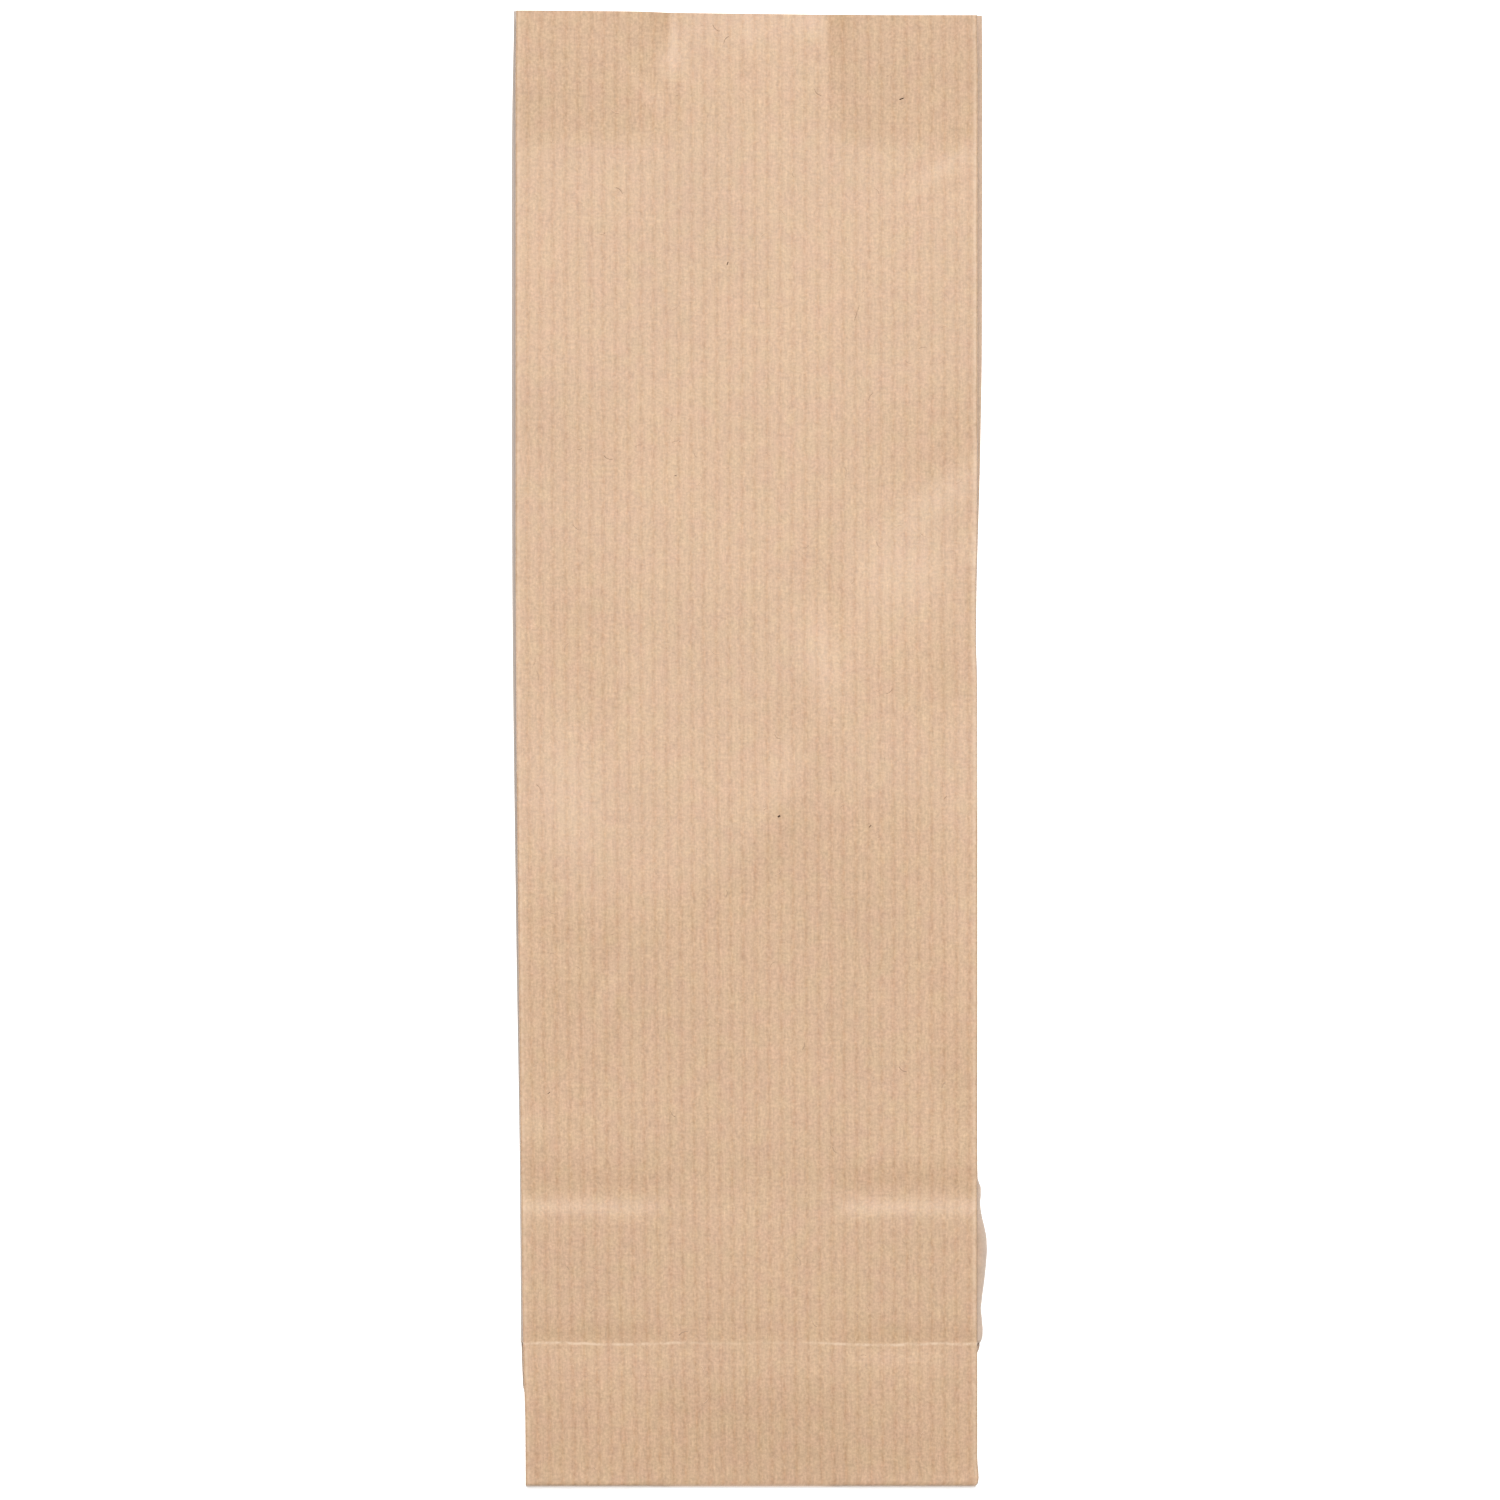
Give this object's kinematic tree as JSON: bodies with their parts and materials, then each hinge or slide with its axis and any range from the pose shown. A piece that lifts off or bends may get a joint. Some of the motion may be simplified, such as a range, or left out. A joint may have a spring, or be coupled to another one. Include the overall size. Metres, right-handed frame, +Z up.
{
  "type": "paper bag",
  "caption": "Empty flat-folded block-bottom bag of ribbed brown kraft paper with side gussets, lying on its back with its plain front up.",
  "frame": {"origin": "centre of the bag's outline, on the surface that it lies on", "axes": "+X across the bag to the right of its front, +Y lengthwise from the block bottom to the mouth, +Z up out of the plain front panel"},
  "size_m": [0.0828, 0.257, 0.0048],
  "materials": {
    "kraft_paper": "unprinted brown kraft paper with fine lengthwise ribs, matt, with soft folds and a few dark fibres"
  },
  "bodies": {
    "root": {"paper_bag": "kraft_paper"}
  },
  "joints": []
}
